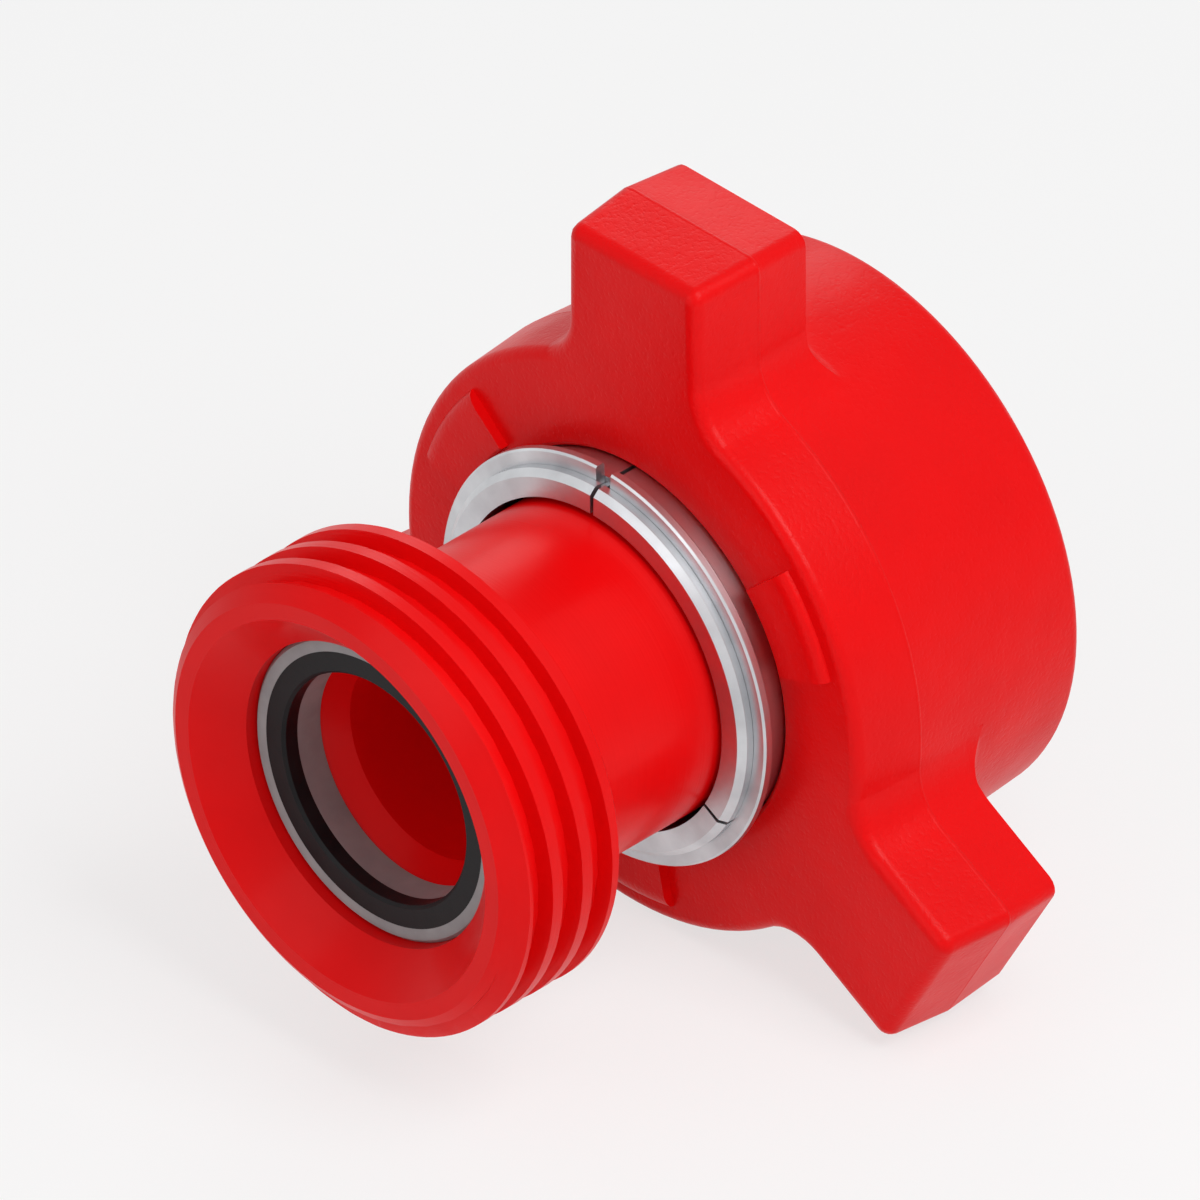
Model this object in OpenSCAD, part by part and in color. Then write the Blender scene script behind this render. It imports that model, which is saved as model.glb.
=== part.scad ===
// Hammer union pup joint. A short thick pipe has a threaded female hub at one end and a
// ball nose behind a shoulder at the other. A wing nut with three hammer lugs is held
// captive behind the shoulder by a three-piece retainer and a snap ring, and a lip seal
// with a stiff insert sits in the hub. The pipe lies along X and one lug points up.

/* [Pup joint] */
// Length from the hub's face to the tip of the ball nose
pup_len = 118.5; // [112:0.5:150]
// Outside diameter of the pipe
pipe_d = 65.2; // [62:0.1:66.4]
// Diameter of the flow bore
bore_d = 41.1; // [36:0.1:44]
// Radius of the fillet where the hub's back runs into the pipe
hub_fillet = 3; // [1:0.25:4]
// Radius of the fillet between the pipe and the shoulder
shoulder_fillet = 1.6; // [0.8:0.1:2]

/* [Female hub] */
// Major diameter of the hub's Acme thread
thread_d = 93.6; // [92:0.1:96]
// Pitch of the thread
thread_pitch = 7.7; // [7.2:0.1:8.5]
// Depth of the thread
thread_depth = 3; // [2.2:0.1:3.4]
// Width of the flat on the crest of the hub's thread
crest_w = 2.6; // [2:0.1:3]
// Length of the hub along the pipe
hub_len = 27; // [24:0.5:30]
// Outside diameter of the hub's flat end face, inside its chamfer
face_d = 83.8; // [80:0.1:86]
// Length of the chamfer between the end face and the thread
face_chamfer_len = 3.3; // [2:0.1:5]
// Diameter of the mouth where the ball nose of the next joint enters
mouth_d = 77; // [76:0.1:79]
// Diameter at which the back of the hub starts its taper
back_d = 82; // [78:0.5:85]

/* [Seal pocket] */
// Depth of the conical seat, from the end face
seat_depth = 7.5; // [6:0.1:9]
// Diameter of the seal pocket behind the seat
pocket_d = 62; // [60:0.1:64]
// Depth of the pocket's floor, from the end face
pocket_depth = 19.1; // [17.5:0.1:21]
// Height of the seal's retaining bead above its outer wall
bead_h = 1.6; // [1:0.1:2]
// Width of the seal's retaining bead
bead_w = 4.6; // [3:0.1:5]
// Length of the seal along the pipe
seal_len = 9.5; // [8:0.1:10.5]
// Inside diameter of the seal
seal_bore_d = 46.8; // [46:0.1:49]
// Radial width of the seal's stiff insert
insert_w = 4.5; // [3:0.1:5]
// Depth of the insert from the seal's front
insert_depth = 3.6; // [2:0.1:5]
// Length of the taper from the pocket's floor down to the flow bore
throat_len = 4.9; // [3:0.1:6]

/* [Ball nose] */
// Diameter of the shoulder that the retainer pushes on
shoulder_d = 76; // [75:0.1:76.4]
// Length of the straight band on the shoulder
band_len = 8.3; // [6:0.1:10]
// Distance from the back of the shoulder to the tip of the nose
nose_len = 21.6; // [18:0.1:24]
// Radius of the spherical nose
ball_r = 44.2; // [42:0.1:48]

/* [Retainer] */
// Radial gap between the pipe and the retainer segments
segment_gap = 1.1; // [0.4:0.1:1.2]
// Radial thickness of the segments' collar
collar_wall = 5.3; // [4.6:0.1:6]
// Overall length of the retainer segments
segment_len = 30.5; // [29:0.5:34]
// Length of the segments' flange, with its conical seat
flange_len = 10.5; // [9.5:0.1:12]
// Width of the slot between two segments
segment_slot = 0.8; // [0.4:0.1:2]
// Thickness of the snap ring along the pipe
snap_t = 2.2; // [1.6:0.1:3]
// Radial width of the snap ring
snap_w = 4.4; // [3.6:0.1:5]
// Depth of the snap ring's groove
snap_groove_depth = 1.5; // [1:0.1:2]
// Width of the lip in front of the snap ring
snap_lip = 2.9; // [2:0.1:3.5]
// Opening between the ends of the snap ring
snap_opening = 3.4; // [1:0.1:8]

/* [Wing nut] */
// Length of the nut along the pipe
nut_len = 60.4; // [58:0.2:66]
// Diameter of the nut at its forging line
nut_d = 119.6; // [116:0.2:124]
// Radial room between the ball nose's shoulder and the nut's bore
nut_bore_room = 1.3; // [1:0.1:1.6]
// Distance from the nut's axis to the flat tip of a lug
lug_tip = 86.6; // [82:0.2:92]
// Width of a lug at the forging line
lug_w = 35.8; // [30:0.2:40]
// Thickness of a lug along the pipe
lug_t = 28.5; // [25:0.5:32]
// Distance from the nut's face to the forging line
forging_line = 15.5; // [13:0.5:17]
// Radius of the web that runs from a lug's side into the body
web_r = 11.4; // [8:0.2:14]
// Radius of the fillet behind a lug
lug_back_fillet = 6.5; // [4:0.5:8]
// Radius on the nut's outer edges
edge_r = 2.5; // [1.5:0.25:3]
// Draft angle of the forging, in degrees
draft = 4; // [2:0.5:5]

/* [Face pads] */
// Height of the raised pads on the nut's face
pad_h = 2; // [1:0.1:2.2]
// Radius of the pads' inner edge
pad_in_r = 42.5; // [42:0.5:45]
// Radius at which the pads end on the nut's face
pad_out_r = 54.8; // [52:0.2:55]
// Angle that a pad covers, in degrees
pad_angle = 23.6; // [15:0.2:30]

/* [Hidden] */
$fn = 96;

paint = [0.86, 0.02, 0.02];
steel = [0.72, 0.73, 0.74];
grey_rubber = [0.5, 0.5, 0.5];
black_insert = [0.04, 0.04, 0.04];

lug_count = 3;
running_gap = 0.3;
snug_gap = 0.1;
overrun = 1;
fillet_bite = 0.1;
thread_steps = 36;
flank_slope = tan(14.5);
thread_clear = 0.3;
thread_phase = 45 - 135;

pipe_r = pipe_d / 2;
bore_r = bore_d / 2;
bore_chamfer = 1;
hub_r = thread_d / 2;
hub_edge = 0.6;
groove_w = thread_pitch - crest_w - 2 * thread_depth * flank_slope;
groove_start = 5.75;

pocket_r = pocket_d / 2;
seal_r = pocket_r - snug_gap;
bead_r = seal_r + bead_h;
bead_groove_r = pocket_r + bead_h + snug_gap;
bead_groove_w = bead_w + overrun;
seal_bore_r = seal_bore_d / 2;
seal_round = 0.7;
insert_r = seal_bore_r + insert_w;
insert_chamfer = 0.6;

shoulder_r = shoulder_d / 2;
shoulder_edge = 0.5;
shoulder_t = pup_len - nose_len;
band_end_t = shoulder_t + band_len;
ball_t = band_end_t - sqrt(pow(ball_r, 2) - pow(shoulder_r, 2));

segment_bore_r = pipe_r + segment_gap;
collar_r = max(segment_bore_r + collar_wall, shoulder_r + nut_bore_room - running_gap);
nut_bore_r = collar_r + running_gap;
nut_crest_r = hub_r - thread_depth + thread_clear;
nut_root_r = hub_r + thread_clear;

flange_r = nut_crest_r - 0.5;
segment_end_t = shoulder_t - running_gap;
segment_start_t = segment_end_t - segment_len;
flange_t = segment_end_t - flange_len;
segment_chamfer = 1.3;
segment_end_chamfer = shoulder_fillet + 0.1;
snap_seat_r = collar_r - snap_groove_depth;
snap_r = snap_seat_r + snug_gap + snap_w;
snap_t0 = segment_start_t + snap_lip;
snap_edge = 0.4;

nut_r = nut_d / 2;
nut_t = snap_t0 + snap_t + snug_gap + 4.8;
nut_seat_t = flange_t - nut_t - running_gap * (sqrt(2) - 1);
relief_depth = 0.3;
relief_w = 6;
relief_t = segment_end_t - nut_t + 5;
nut_edge_chamfer = 1;
nut_mouth_chamfer = nut_root_r + relief_depth - nut_crest_r + 1;
lug_root = 6;
lug_setback = 0.02;
lug_corner_r = edge_r + 0.4;
web_steps = 8;
corner_steps = 4;
edge_steps = 4;

function nut_radius(t) = nut_r - abs(t - forging_line) * tan(draft);
web_x = lug_w / 2 + web_r;
web_y = sqrt(pow(nut_r + web_r, 2) - pow(web_x, 2));

// Turns the drawing frame, with the pipe up its third axis, into the part's own frame
module on_pipe() {
    translate([-pup_len / 2, 0, 0]) rotate([90, 0, 90]) children();
}

// One helical groove: a trapezium swept at a constant pitch
module helical_groove(in_r, in_w, out_r, out_w, from_t, to_t, phase) {
    steps = ceil((to_t - from_t) / thread_pitch * thread_steps);
    corners = [[in_r, -in_w / 2], [in_r, in_w / 2], [out_r, out_w / 2], [out_r, -out_w / 2]];
    points = [
        for (i = [0:steps])
            let (t = from_t + (to_t - from_t) * i / steps, a = phase + 360 * t / thread_pitch)
                for (c = corners) [c[0] * cos(a), c[0] * sin(a), t + c[1]]
    ];
    sides = [
        for (i = [0:steps - 1], k = [0:3])
            let (here = 4 * i + k, next = 4 * i + (k + 1) % 4)
                each [[here, next + 4, next], [here, here + 4, next + 4]]
    ];
    last = 4 * steps;
    ends = [[3, 1, 2], [3, 0, 1], [last, last + 2, last + 1], [last, last + 3, last + 2]];
    polyhedron(points, concat(sides, ends));
}

// Outline of the pup joint from its flow bore outwards, before the thread is cut
module pup_section() {
    taper_end_t = hub_len + back_d / 2 - pipe_r;
    fillet_t = taper_end_t + hub_fillet * tan(22.5);
    fillet_c = [pipe_r + hub_fillet, fillet_t];
    difference() {
        union() {
            polygon([
                [bore_r, 0], [face_d / 2, 0], [hub_r, face_chamfer_len], [hub_r, hub_len - hub_edge],
                [hub_r - hub_edge, hub_len], [back_d / 2, hub_len], [pipe_r, taper_end_t],
                [pipe_r, shoulder_t], [shoulder_r - shoulder_edge, shoulder_t],
                [shoulder_r, shoulder_t + shoulder_edge], [shoulder_r, band_end_t], [bore_r, band_end_t]
            ]);
            difference() {
                polygon([
                    [pipe_r, taper_end_t], fillet_c - hub_fillet * [cos(45), sin(45)],
                    fillet_c, [pipe_r, fillet_t]
                ]);
                translate(fillet_c) circle(hub_fillet);
            }
            difference() {
                translate([pipe_r, shoulder_t - shoulder_fillet]) square(shoulder_fillet);
                translate([pipe_r + shoulder_fillet, shoulder_t - shoulder_fillet])
                    circle(shoulder_fillet);
            }
            intersection() {
                translate([0, ball_t]) circle(ball_r);
                translate([bore_r, band_end_t]) square([shoulder_r - bore_r, pup_len - band_end_t]);
            }
        }
        polygon([
            [0, -overrun], [mouth_d / 2 + overrun, -overrun], [mouth_d / 2, 0], [pocket_r, seat_depth],
            [pocket_r, pocket_depth - bead_groove_w], [bead_groove_r, pocket_depth - bead_groove_w],
            [bead_groove_r, pocket_depth], [seal_bore_r + 0.4, pocket_depth],
            [bore_r, pocket_depth + throat_len], [0, pocket_depth + throat_len]
        ]);
        polygon([
            [bore_r - overrun, pup_len - bore_chamfer - overrun], [bore_r, pup_len - bore_chamfer],
            [bore_r + bore_chamfer, pup_len], [bore_r + bore_chamfer, pup_len + overrun],
            [bore_r - overrun, pup_len + overrun]
        ]);
    }
}

module pup_joint() {
    out_w = groove_w + 2 * flank_slope * (thread_depth + overrun);
    color(paint) on_pipe() difference() {
        rotate_extrude() pup_section();
        helical_groove(hub_r - thread_depth, groove_w, hub_r + overrun, out_w,
                       -out_w / 2 - snug_gap, hub_len + out_w / 2 + snug_gap,
                       135 - 360 * groove_start / thread_pitch);
    }
}

// Lip seal: a plain wall with a bead at its back that snaps into the hub's groove
module seal_ring() {
    front = pocket_depth - seal_len;
    color(grey_rubber) on_pipe() rotate_extrude() polygon([
        [insert_r, front], [seal_r - seal_round, front], [seal_r, front + seal_round],
        [seal_r, pocket_depth - bead_w - bead_h / 2], [bead_r - seal_round / 2, pocket_depth - bead_w],
        [bead_r, pocket_depth - bead_w + seal_round], [bead_r, pocket_depth - seal_round],
        [bead_r - seal_round, pocket_depth], [seal_bore_r, pocket_depth],
        [seal_bore_r, front + insert_depth], [insert_r, front + insert_depth]
    ]);
}

// Stiff black insert in the inner front corner of the seal
module seal_insert() {
    front = pocket_depth - seal_len;
    color(black_insert) on_pipe() rotate_extrude() polygon([
        [seal_bore_r + insert_chamfer, front], [insert_r, front], [insert_r, front + insert_depth],
        [seal_bore_r, front + insert_depth], [seal_bore_r, front + insert_chamfer]
    ]);
}

module retainer_segment(k) {
    slot_angle = segment_slot / segment_bore_r * 180 / PI;
    color(steel) on_pipe() rotate([0, 0, 90 + k * 120 + slot_angle / 2])
        rotate_extrude(angle = 120 - slot_angle) polygon([
            [segment_bore_r, segment_start_t], [collar_r - segment_chamfer, segment_start_t],
            [collar_r, segment_start_t + segment_chamfer], [collar_r, snap_t0],
            [snap_seat_r, snap_t0], [snap_seat_r, snap_t0 + snap_t + snug_gap],
            [collar_r, snap_t0 + snap_t + snug_gap], [collar_r, flange_t],
            [flange_r, flange_t + flange_r - collar_r], [flange_r, segment_end_t],
            [segment_bore_r + segment_end_chamfer, segment_end_t],
            [segment_bore_r, segment_end_t - segment_end_chamfer]
        ]);
}

// Split ring that keeps the segments together and the nut on them
module snap_ring() {
    t0 = snap_t0 + snug_gap / 2;
    in_r = snap_seat_r + snug_gap;
    opening_angle = snap_opening / in_r * 180 / PI;
    color(steel) on_pipe() rotate([0, 0, 90 + opening_angle / 2])
        rotate_extrude(angle = 360 - opening_angle) polygon([
            [in_r, t0], [snap_r - snap_edge, t0], [snap_r, t0 + snap_edge],
            [snap_r, t0 + snap_t - snap_edge], [snap_r - snap_edge, t0 + snap_t], [in_r, t0 + snap_t]
        ]);
}

// Body of the nut as a solid of revolution: widest at the forging line, with draft both ways
module nut_body() {
    rotate_extrude() union() {
        polygon([
            [0, 0], [nut_radius(edge_r) - edge_r, 0], [nut_radius(edge_r) - edge_r, edge_r],
            [nut_radius(edge_r), edge_r], [nut_r, forging_line], [nut_radius(nut_len - edge_r), nut_len - edge_r],
            [nut_radius(nut_len - edge_r) - edge_r, nut_len - edge_r],
            [nut_radius(nut_len - edge_r) - edge_r, nut_len], [0, nut_len]
        ]);
        intersection() {
            translate([nut_radius(edge_r) - edge_r, edge_r]) circle(edge_r);
            translate([nut_radius(edge_r) - edge_r, 0]) square(edge_r);
        }
        intersection() {
            translate([nut_radius(nut_len - edge_r) - edge_r, nut_len - edge_r]) circle(edge_r);
            translate([nut_radius(nut_len - edge_r) - edge_r, nut_len - edge_r]) square(edge_r);
        }
    }
}

// Right half of a lug's outline with its web, drawn in by inset and with its tip's corner
// rounded to corner_r: from inside the nut's body up to the flat tip
function half_outline(inset, corner_r) =
    let (
        web_dir = [web_x, web_y] / norm([web_x, web_y]),
        web_from = 180 + atan2(web_y, web_x),
        corner = [lug_w / 2 - inset - corner_r, lug_tip - inset - corner_r]
    )
    [
        (nut_r - lug_root) * web_dir,
        (nut_r - inset - fillet_bite) * web_dir,
        for (i = [1:web_steps]) let (a = web_from + (180 - web_from) * i / web_steps)
            [web_x, web_y] + (web_r + inset) * [cos(a), sin(a)],
        for (i = [0:corner_steps]) let (a = 90 * i / corner_steps)
            corner + corner_r * [cos(a), sin(a)]
    ];

function lug_outline(inset, corner_r) =
    let (half = half_outline(inset, corner_r), n = len(half))
        concat(half, [for (i = [n - 1:-1:0]) [-half[i][0], half[i][1]]]);

// Hammer lug with its two webs: the outline lofted from the nut's rounded front edge to the
// forging line and on to the lug's flat back, with draft both ways
module lug() {
    levels = [
        for (i = [0:edge_steps]) let (a = 90 - 90 * i / edge_steps)
            [edge_r * (1 - sin(a)), edge_r * (1 - cos(a))],
        [forging_line, 0],
        [lug_t, 0]
    ];
    points = [
        for (level = levels) let (t = level[0], rolled = level[1])
            for (p = lug_outline(abs(t - forging_line) * tan(draft) + rolled, lug_corner_r - rolled))
                [p[0], p[1], t]
    ];
    n = len(points) / len(levels);
    last = n * (len(levels) - 1);
    sides = [
        for (i = [0:len(levels) - 2], k = [0:n - 1])
            let (here = n * i + k, next = n * i + (k + 1) % n)
                each [[here, next + n, next], [here, here + n, next + n]]
    ];
    ends = [
        for (k = [0:n / 2 - 2]) let (a = k, b = k + 1, c = n - 2 - k, d = n - 1 - k)
            each [[a, b, c], [a, c, d], [last + a, last + c, last + b], [last + a, last + d, last + c]]
    ];
    polyhedron(points, concat(sides, ends));
}

// Concave fillet between the back of a lug with its webs and the nut's body
module lug_back() {
    end_t = lug_t + lug_back_fillet;
    root_r = nut_radius(end_t);
    intersection() {
        rotate_extrude() difference() {
            translate([root_r - 2, lug_t - 2]) square([lug_back_fillet + 2, lug_back_fillet + 2]);
            translate([root_r + lug_back_fillet - fillet_bite, end_t - fillet_bite])
                circle(lug_back_fillet);
        }
        translate([0, 0, lug_t - 3]) linear_extrude(lug_back_fillet + 4)
            polygon(lug_outline(nut_r - nut_radius(lug_t) + fillet_bite, lug_corner_r));
    }
}

// Raised pad on the nut's face, rolled off towards its outer edge
module face_pad() {
    roll_w = 3.4;
    roll_steps = 6;
    rotate([0, 0, -pad_angle / 2]) rotate_extrude(angle = pad_angle) polygon(concat(
        [[pad_in_r, overrun], [pad_in_r, -pad_h + 0.4], [pad_in_r + 0.4, -pad_h]],
        [for (i = [0:roll_steps]) [pad_out_r - roll_w * (1 - sin(90 * i / roll_steps)),
                                   -pad_h * cos(90 * i / roll_steps)]],
        [[pad_out_r, overrun]]
    ));
}

// Room inside the nut: bore for the collar, conical seat, thread bore with its relief, mouth
module nut_cavity() {
    seat_end_t = nut_seat_t + nut_crest_r - nut_bore_r;
    relief_r = nut_root_r + relief_depth;
    rotate_extrude() polygon([
        [0, -pad_h - overrun], [nut_bore_r + nut_edge_chamfer + overrun, -pad_h - overrun],
        [nut_bore_r + nut_edge_chamfer + overrun, -overrun], [nut_bore_r, nut_edge_chamfer],
        [nut_bore_r, nut_seat_t], [nut_crest_r, seat_end_t], [nut_crest_r, relief_t],
        [relief_r, relief_t + 1.5], [relief_r, relief_t + relief_w],
        [nut_crest_r, relief_t + relief_w + 1.5], [nut_crest_r, nut_len - nut_mouth_chamfer],
        [nut_crest_r + nut_mouth_chamfer + overrun, nut_len + overrun], [0, nut_len + overrun]
    ]);
}

module wing_nut() {
    ridge_w = crest_w + thread_clear;
    in_r = nut_crest_r - overrun;
    in_w = ridge_w + 2 * flank_slope * (nut_root_r - in_r);
    color(paint) on_pipe() translate([0, 0, nut_t]) {
        difference() {
            union() {
                nut_body();
                for (k = [0:lug_count - 1]) rotate([0, 0, k * 360 / lug_count]) {
                    translate([0, 0, lug_setback]) lug();
                    lug_back();
                    rotate([0, 0, 90 + 180 / lug_count]) face_pad();
                }
            }
            nut_cavity();
            helical_groove(in_r, in_w, nut_root_r, ridge_w, relief_t + relief_w / 2 + 0.75,
                           nut_len + in_w / 2 + overrun, 0);
        }
    }
}

pup_joint();
seal_ring();
seal_insert();
retainer_segment(0);  // retainer_segment_1
retainer_segment(1);  // retainer_segment_2
retainer_segment(2);  // retainer_segment_3
snap_ring();
wing_nut();
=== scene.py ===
import math

import bmesh
import bpy
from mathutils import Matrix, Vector


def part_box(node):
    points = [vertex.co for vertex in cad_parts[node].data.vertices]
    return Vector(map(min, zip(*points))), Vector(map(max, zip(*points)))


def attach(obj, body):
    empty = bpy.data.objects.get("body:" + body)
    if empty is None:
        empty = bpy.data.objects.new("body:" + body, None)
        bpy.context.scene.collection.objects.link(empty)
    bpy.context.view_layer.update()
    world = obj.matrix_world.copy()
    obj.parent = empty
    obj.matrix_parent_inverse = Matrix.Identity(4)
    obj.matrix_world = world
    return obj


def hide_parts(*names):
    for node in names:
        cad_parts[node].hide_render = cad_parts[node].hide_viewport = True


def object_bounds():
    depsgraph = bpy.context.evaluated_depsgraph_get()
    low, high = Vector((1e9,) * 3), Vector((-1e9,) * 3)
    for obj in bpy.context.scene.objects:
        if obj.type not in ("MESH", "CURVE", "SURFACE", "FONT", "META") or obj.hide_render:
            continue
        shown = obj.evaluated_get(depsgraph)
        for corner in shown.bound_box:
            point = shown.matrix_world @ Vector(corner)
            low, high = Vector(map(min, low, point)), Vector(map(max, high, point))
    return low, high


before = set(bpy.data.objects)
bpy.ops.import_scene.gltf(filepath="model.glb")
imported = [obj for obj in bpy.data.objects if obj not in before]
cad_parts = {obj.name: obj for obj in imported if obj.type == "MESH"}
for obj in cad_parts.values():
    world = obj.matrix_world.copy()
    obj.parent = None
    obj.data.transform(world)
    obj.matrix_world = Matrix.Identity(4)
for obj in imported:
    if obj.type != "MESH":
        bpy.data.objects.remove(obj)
CAD_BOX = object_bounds()

# All lengths are in metres, all colours are linear and all lamp powers are in watts.
MM = 0.001

# How the red pieces' skins are welded, and which of their edges stay sharp
WELD = 0.002 * MM
SEAM_REACH = 0.05 * MM
SHARP_TURN = math.radians(28)
SEAM_TURN = math.radians(3)

# Where the forging's dies met on the nut, measured from the top of its raised pads
PAD_HEIGHT = 2 * MM
FORGING_LINE = 15.5 * MM

# The line of trimmed flash there: half its width at the foot and at the top, and its height
FLASH_FOOT = 0.45 * MM
FLASH_TOP = 0.1 * MM
FLASH_HEIGHT = 0.07 * MM

# A ring pattern that counted length and radius alike would vanish on a 45 degree cone.
RADIUS_SHARE = 1.37

# Pits are cut off softly above this value of their noise.
PIT_CEILING = 0.52
PIT_BLEND = 0.1

# The part of the paint's noise over which its tone and gloss change
PATCH_LOW = 0.3
PATCH_HIGH = 0.7

RED_ENAMEL = (0.88, 0.002, 0.003, 1)
RED_ENAMEL_DEEP = (0.82, 0.002, 0.003, 1)
BARE_STEEL = (0.66, 0.67, 0.69, 1)
BARE_STEEL_DARK = (0.5, 0.51, 0.53, 1)
SEAL_GREY = (0.36, 0.36, 0.365, 1)
SEAL_GREY_DARK = (0.28, 0.28, 0.285, 1)
INSERT_BLACK = (0.006, 0.006, 0.007, 1)
INSERT_BLACK_WORN = (0.014, 0.014, 0.015, 1)

ENAMEL_SPECULAR = 0.11
ENAMEL_COAT = 0.04
ENAMEL_COAT_ROUGHNESS = 0.14
MOULDED_SPECULAR = 0.15

FLOOR_WHITE = (0.86, 0.86, 0.86, 1)
FLOOR_ROUGHNESS = 0.85
FLOOR_SPECULAR = 0.2
FLOOR_GLOW = 0.7
FLOOR_HALF = 3.0
AMBIENT = 0.36

VIEW_WIDTH = 0.22
CAMERA_DISTANCE = 1.5

# Each softbox: its name, direction from the object, distance, side and power
SOFTBOXES = (
    ("key", (0.0, -0.75, 1.0), 1.2, 0.7, 8.5),
    ("fill", (-1.0, 0.1, 0.5), 1.4, 0.9, 3),
    ("rim", (0.9, 0.9, 0.7), 1.4, 0.5, 2),
)


def math_node(tree, operation, a, b=None, c=None):
    """A Math node whose inputs are sockets or plain numbers."""
    node = tree.nodes.new("ShaderNodeMath")
    node.operation = operation
    for slot, value in zip(node.inputs, (a, b, c)):
        if value is None:
            continue
        if isinstance(value, bpy.types.NodeSocket):
            tree.links.new(value, slot)
        else:
            slot.default_value = value
    return node.outputs[0]


def map_range(tree, value, low, high):
    """A Map Range node that takes low to high onto 0 to 1."""
    node = tree.nodes.new("ShaderNodeMapRange")
    node.inputs["From Min"].default_value = low
    node.inputs["From Max"].default_value = high
    tree.links.new(value, node.inputs["Value"])
    return node


def noise_of_size(tree, size, detail, roughness):
    """Noise over the piece, with features of the size that a socket gives."""
    coords = tree.nodes.new("ShaderNodeTexCoord")
    node = tree.nodes.new("ShaderNodeTexNoise")
    node.inputs["Detail"].default_value = detail
    node.inputs["Roughness"].default_value = roughness
    tree.links.new(math_node(tree, "DIVIDE", 1.0, size), node.inputs["Scale"])
    tree.links.new(coords.outputs["Object"], node.inputs["Vector"])
    return node.outputs[0]


def along_and_around(tree):
    """The distance along the pipe's axis and the distance from it."""
    coords = tree.nodes.new("ShaderNodeTexCoord")
    split = tree.nodes.new("ShaderNodeSeparateXYZ")
    tree.links.new(coords.outputs["Object"], split.inputs[0])
    y_squared = math_node(tree, "POWER", split.outputs["Y"], 2.0)
    z_squared = math_node(tree, "POWER", split.outputs["Z"], 2.0)
    radius = math_node(tree, "SQRT", math_node(tree, "ADD", y_squared, z_squared))
    return split.outputs["X"], radius


def shader_group(name, inputs, outputs):
    """A node group with the inputs and outputs given, and the nodes that stand for them."""
    tree = bpy.data.node_groups.new(name, "ShaderNodeTree")
    for title, kind, value in inputs:
        socket = tree.interface.new_socket(name=title, in_out="INPUT", socket_type=kind)
        socket.default_value = value
    for title, kind in outputs:
        tree.interface.new_socket(name=title, in_out="OUTPUT", socket_type=kind)
    return tree, tree.nodes.new("NodeGroupInput"), tree.nodes.new("NodeGroupOutput")


def turned_marks_group():
    """Fine rings round the pipe's axis, as a lathe leaves them on cylinders, faces and cones."""
    tree, inside, outside = shader_group(
        "turned_marks",
        [("Spacing", "NodeSocketFloat", 0.4 * MM)],
        [("Height", "NodeSocketFloat")])
    along, radius = along_and_around(tree)
    path = math_node(tree, "MULTIPLY_ADD", radius, RADIUS_SHARE, along)
    rings = tree.nodes.new("ShaderNodeTexNoise")
    rings.noise_dimensions = "1D"
    rings.inputs["Scale"].default_value = 1.0
    rings.inputs["Detail"].default_value = 3.0
    turns = math_node(tree, "DIVIDE", path, inside.outputs["Spacing"])
    tree.links.new(turns, rings.inputs["W"])
    tree.links.new(rings.outputs[0], outside.inputs["Height"])
    return tree


def forged_skin_group():
    """The soft hollows and small pits of a forging under paint."""
    tree, inside, outside = shader_group(
        "forged_skin",
        [("Hollow size", "NodeSocketFloat", 7 * MM),
         ("Pit size", "NodeSocketFloat", 0.9 * MM),
         ("Pit share", "NodeSocketFloat", 0.3)],
        [("Height", "NodeSocketFloat")])
    hollows = noise_of_size(tree, inside.outputs["Hollow size"], detail=3.0, roughness=0.45)
    pits = noise_of_size(tree, inside.outputs["Pit size"], detail=2.0, roughness=0.6)
    pits = math_node(tree, "SMOOTH_MIN", pits, PIT_CEILING, PIT_BLEND)
    pits = math_node(tree, "MULTIPLY", pits, inside.outputs["Pit share"])
    tree.links.new(math_node(tree, "ADD", hollows, pits), outside.inputs["Height"])
    return tree


def parting_line_group():
    """The fine raised line that the trimmed flash leaves round a forging, where its dies met."""
    tree, inside, outside = shader_group(
        "parting_line",
        [("Place", "NodeSocketFloat", 0.0),
         ("Inner radius", "NodeSocketFloat", 50 * MM)],
        [("Height", "NodeSocketFloat")])
    along, radius = along_and_around(tree)
    away = math_node(tree, "SUBTRACT", along, inside.outputs["Place"])
    ridge = map_range(tree, math_node(tree, "ABSOLUTE", away), FLASH_FOOT, FLASH_TOP)
    ridge.interpolation_type = "SMOOTHSTEP"
    outer = math_node(tree, "GREATER_THAN", radius, inside.outputs["Inner radius"])
    height = math_node(tree, "MULTIPLY", ridge.outputs["Result"], outer)
    tree.links.new(height, outside.inputs["Height"])
    return tree


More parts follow.
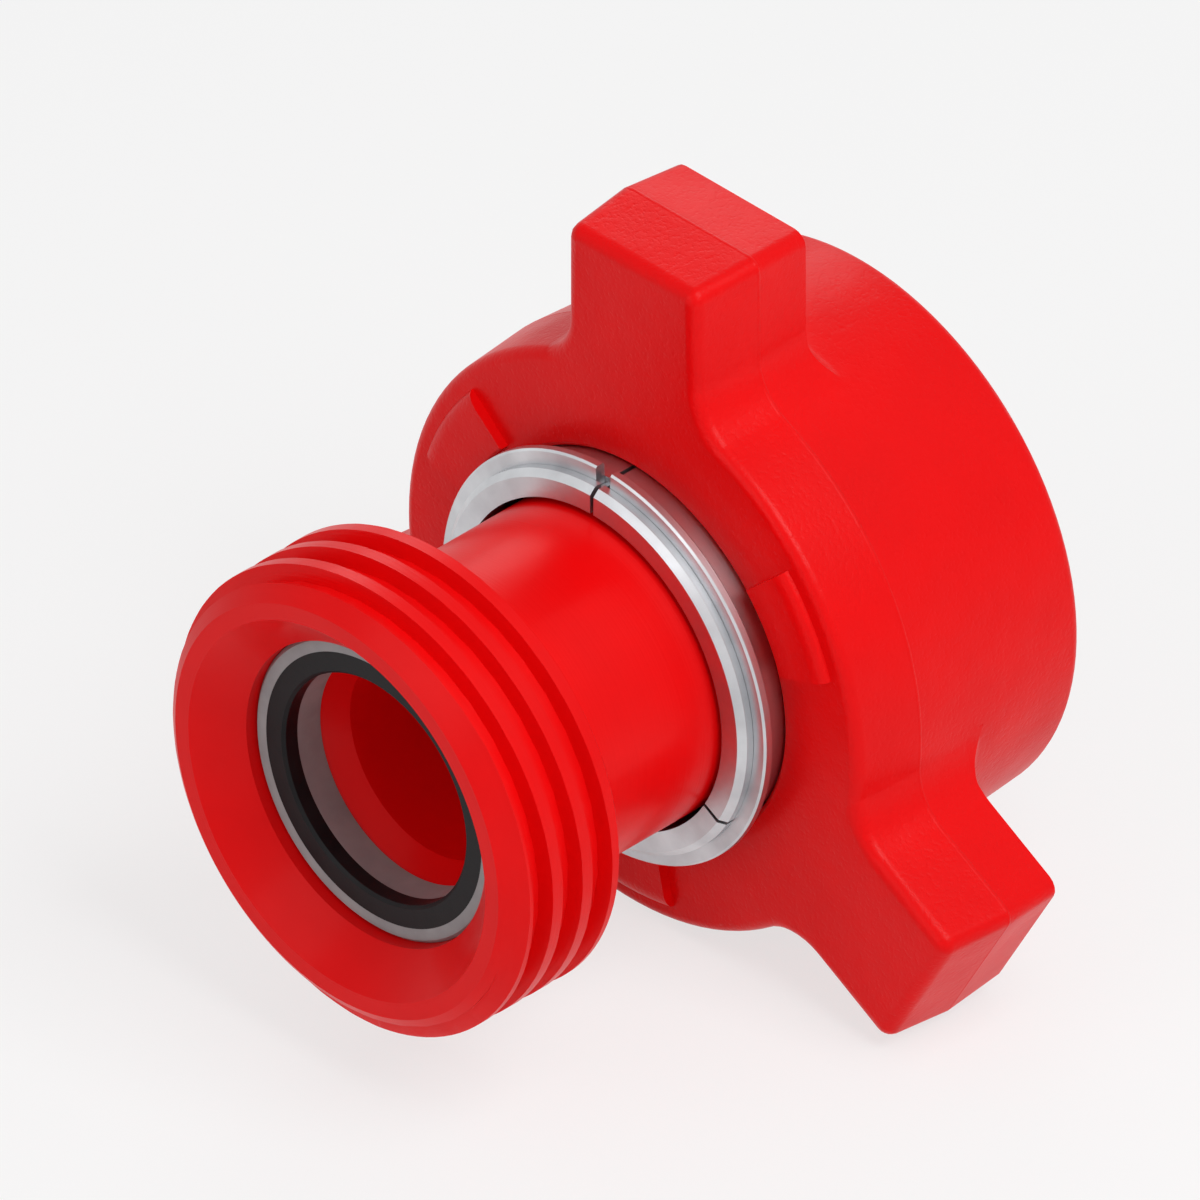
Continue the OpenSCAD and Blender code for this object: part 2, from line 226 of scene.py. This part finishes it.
def tone_group():
    """Slow changes of a surface's tone and gloss, as from paint of uneven thickness."""
    tree, inside, outside = shader_group(
        "paint_tone",
        [("Thin colour", "NodeSocketColor", RED_ENAMEL),
         ("Thick colour", "NodeSocketColor", RED_ENAMEL_DEEP),
         ("Patch size", "NodeSocketFloat", 22 * MM),
         ("Smooth", "NodeSocketFloat", 0.3),
         ("Rough", "NodeSocketFloat", 0.4)],
        [("Color", "NodeSocketColor"),
         ("Roughness", "NodeSocketFloat")])
    patches = noise_of_size(tree, inside.outputs["Patch size"], detail=4.0, roughness=0.55)
    tone = map_range(tree, patches, PATCH_LOW, PATCH_HIGH)
    mix = tree.nodes.new("ShaderNodeMix")
    mix.data_type = "RGBA"
    tree.links.new(tone.outputs["Result"], mix.inputs["Factor"])
    tree.links.new(inside.outputs["Thin colour"], mix.inputs["A"])
    tree.links.new(inside.outputs["Thick colour"], mix.inputs["B"])
    tree.links.new(mix.outputs["Result"], outside.inputs["Color"])
    gloss = map_range(tree, patches, PATCH_LOW, PATCH_HIGH)
    tree.links.new(inside.outputs["Smooth"], gloss.inputs["To Min"])
    tree.links.new(inside.outputs["Rough"], gloss.inputs["To Max"])
    tree.links.new(gloss.outputs["Result"], outside.inputs["Roughness"])
    return tree


TURNED_MARKS = turned_marks_group()
FORGED_SKIN = forged_skin_group()
PARTING_LINE = parting_line_group()
TONE = tone_group()


def group_node(tree, group, **values):
    """A group in a material. The keyword thin_colour sets its input Thin colour, and so on."""
    node = tree.nodes.new("ShaderNodeGroup")
    node.node_tree = group
    for name, value in values.items():
        node.inputs[name.replace("_", " ").capitalize()].default_value = value
    return node


def new_material(name):
    material = bpy.data.materials.new(name)
    material.use_nodes = True
    return material, material.node_tree, material.node_tree.nodes["Principled BSDF"]


def bump(tree, relief, depth, under=None):
    """The normal of a surface with a relief group on it, over the normal of what lies under."""
    node = tree.nodes.new("ShaderNodeBump")
    node.inputs["Distance"].default_value = depth
    node.inputs["Strength"].default_value = 1.0
    tree.links.new(relief.outputs["Height"], node.inputs["Height"])
    if under is not None:
        tree.links.new(under, node.inputs["Normal"])
    return node.outputs["Normal"]


def wire(tree, shader, tone, normal):
    tree.links.new(tone.outputs["Color"], shader.inputs["Base Color"])
    tree.links.new(tone.outputs["Roughness"], shader.inputs["Roughness"])
    tree.links.new(normal, shader.inputs["Normal"])


def enamel(name, skin_depth, pit_share, ring_depth, smooth, rough, line_x=None):
    """Red enamel over a forged or a turned surface, with the forging's parting line at line_x."""
    material, tree, shader = new_material(name)
    tone = group_node(tree, TONE, smooth=smooth, rough=rough)
    skin = group_node(tree, FORGED_SKIN, pit_share=pit_share)
    rings = group_node(tree, TURNED_MARKS, spacing=0.6 * MM)
    normal = bump(tree, skin, skin_depth)
    normal = bump(tree, rings, ring_depth, under=normal)
    if line_x is not None:
        line = group_node(tree, PARTING_LINE, place=line_x)
        normal = bump(tree, line, FLASH_HEIGHT, under=normal)
    wire(tree, shader, tone, normal)
    shader.inputs["Specular IOR Level"].default_value = ENAMEL_SPECULAR
    shader.inputs["Coat Weight"].default_value = ENAMEL_COAT
    shader.inputs["Coat Roughness"].default_value = ENAMEL_COAT_ROUGHNESS
    return material


def turned_steel():
    """Bare steel with a fine turned finish."""
    material, tree, shader = new_material("turned_steel")
    tone = group_node(tree, TONE, thin_colour=BARE_STEEL, thick_colour=BARE_STEEL_DARK,
                      patch_size=12 * MM, smooth=0.3, rough=0.4)
    rings = group_node(tree, TURNED_MARKS, spacing=0.22 * MM)
    wire(tree, shader, tone, bump(tree, rings, 0.012 * MM))
    shader.inputs["Metallic"].default_value = 1.0
    return material


def moulded(name, pale, dark, smooth, rough):
    """Moulded rubber or filled plastic with a fine grain."""
    material, tree, shader = new_material(name)
    tone = group_node(tree, TONE, thin_colour=pale, thick_colour=dark,
                      patch_size=9 * MM, smooth=smooth, rough=rough)
    grain = group_node(tree, FORGED_SKIN, hollow_size=1.6 * MM, pit_size=0.3 * MM, pit_share=0.6)
    wire(tree, shader, tone, bump(tree, grain, 0.02 * MM))
    shader.inputs["Specular IOR Level"].default_value = MOULDED_SPECULAR
    return material


def dress(node_name, material):
    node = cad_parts[node_name]
    node.data.materials.clear()
    node.data.materials.append(material)


def soft_skin(node_name, material, seam_x=None):
    """A piece on the node's own surface, shaded smooth but for its real edges and the forging
    seam at seam_x."""
    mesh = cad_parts[node_name].data.copy()
    mesh.name = node_name + "_skin"
    work = bmesh.new()
    work.from_mesh(mesh)
    bmesh.ops.remove_doubles(work, verts=work.verts, dist=WELD)
    for face in work.faces:
        face.smooth = True
    for edge in work.edges:
        turn = edge.calc_face_angle(0)
        on_seam = seam_x is not None and all(
            abs(v.co.x - seam_x) < SEAM_REACH for v in edge.verts)
        edge.smooth = turn < SHARP_TURN and not (on_seam and turn > SEAM_TURN)
    work.to_mesh(mesh)
    work.free()
    mesh.materials.clear()
    mesh.materials.append(material)
    for attribute in ("custom_normal", "sharp_face"):
        if attribute in mesh.attributes:
            mesh.attributes.remove(mesh.attributes[attribute])
    skin = bpy.data.objects.new(mesh.name, mesh)
    bpy.context.scene.collection.objects.link(skin)
    even = skin.modifiers.new("even_normals", "WEIGHTED_NORMAL")
    even.mode = "FACE_AREA"
    even.keep_sharp = True
    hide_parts(node_name)
    return skin


def nut_seam():
    """Where the nut's forging line lies along the pipe."""
    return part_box("wing_nut")[0].x + PAD_HEIGHT + FORGING_LINE


def dress_nodes():
    steel = turned_steel()
    forged = enamel("forged_enamel", skin_depth=0.22 * MM, pit_share=0.8, ring_depth=0.0,
                    smooth=0.32, rough=0.42, line_x=nut_seam())
    nut = soft_skin("wing_nut", forged, nut_seam())
    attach(nut, "nut")
    turned = enamel("turned_enamel", skin_depth=0.02 * MM, pit_share=0.3, ring_depth=0.03 * MM,
                    smooth=0.3, rough=0.38)
    pup = soft_skin("pup_joint", turned)
    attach(pup, "pup")
    dress("seal_ring", moulded("seal_rubber", SEAL_GREY, SEAL_GREY_DARK,
                               smooth=0.42, rough=0.55))
    dress("seal_insert", moulded("insert_plastic", INSERT_BLACK, INSERT_BLACK_WORN,
                                 smooth=0.4, rough=0.5))
    for name in ("retainer_segment_1", "retainer_segment_2", "retainer_segment_3", "snap_ring"):
        dress(name, steel)


def background_ray_share(tree):
    """1 for rays that should see the white background, and 0 for those that light the object."""
    path = tree.nodes.new("ShaderNodeLightPath")
    seen = math_node(tree, "ADD", path.outputs["Is Camera Ray"], path.outputs["Is Glossy Ray"])
    seen = math_node(tree, "ADD", seen, path.outputs["Is Transmission Ray"])
    return math_node(tree, "MINIMUM", seen, 1.0)


def white_world():
    world = bpy.data.worlds.new("studio")
    bpy.context.scene.world = world
    world.use_nodes = True
    tree = world.node_tree
    background = tree.nodes["Background"]
    background.inputs["Color"].default_value = (1, 1, 1, 1)
    share = background_ray_share(tree)
    strength = math_node(tree, "MULTIPLY_ADD", share, 1 - AMBIENT, AMBIENT)
    tree.links.new(strength, background.inputs["Strength"])


def pale_floor(height):
    """A matt floor at the given height, which takes shadows and glows a little to the camera."""
    mesh = bpy.data.meshes.new("floor")
    corners = [(x * FLOOR_HALF, y * FLOOR_HALF, height)
               for x, y in ((-1, -1), (1, -1), (1, 1), (-1, 1))]
    mesh.from_pydata(corners, [], [(0, 1, 2, 3)])
    floor = bpy.data.objects.new("floor", mesh)
    bpy.context.scene.collection.objects.link(floor)
    material, tree, shader = new_material("pale_floor")
    shader.inputs["Base Color"].default_value = FLOOR_WHITE
    shader.inputs["Roughness"].default_value = FLOOR_ROUGHNESS
    shader.inputs["Specular IOR Level"].default_value = FLOOR_SPECULAR
    glow = tree.nodes.new("ShaderNodeEmission")
    mix = tree.nodes.new("ShaderNodeMixShader")
    share = math_node(tree, "MULTIPLY", background_ray_share(tree), FLOOR_GLOW)
    tree.links.new(share, mix.inputs[0])
    tree.links.new(shader.outputs[0], mix.inputs[1])
    tree.links.new(glow.outputs[0], mix.inputs[2])
    tree.links.new(mix.outputs[0], tree.nodes["Material Output"].inputs["Surface"])
    mesh.materials.append(material)


def aimed(name, data, centre, direction, distance):
    """A lamp or camera that looks at the centre from the given direction and distance."""
    holder = bpy.data.objects.new(name, data)
    holder.location = centre + Vector(direction).normalized() * distance
    holder.rotation_euler = (centre - holder.location).to_track_quat("-Z", "Y").to_euler()
    bpy.context.scene.collection.objects.link(holder)
    return holder


def softbox(name, centre, direction, distance, side, power):
    light = bpy.data.lights.new(name, "AREA")
    light.shape = "SQUARE"
    light.size = side
    light.energy = power
    aimed(name, light, centre, direction, distance)


def isometric_camera(centre, width):
    """Looks from the hub's side and from above, with X, Y and Z foreshortened alike."""
    camera = bpy.data.cameras.new("camera")
    camera.type = "ORTHO"
    camera.ortho_scale = width
    bpy.context.scene.camera = aimed("camera", camera, centre, (-1, -1, 1), CAMERA_DISTANCE)


low, high = (Vector(corner) for corner in CAD_BOX)
middle = (low + high) / 2
dress_nodes()
white_world()
pale_floor(low.z)
for name, direction, distance, side, power in SOFTBOXES:
    softbox(name, middle, direction, distance, side, power)
isometric_camera(middle, VIEW_WIDTH)

bpy.context.scene.view_settings.view_transform = "Standard"
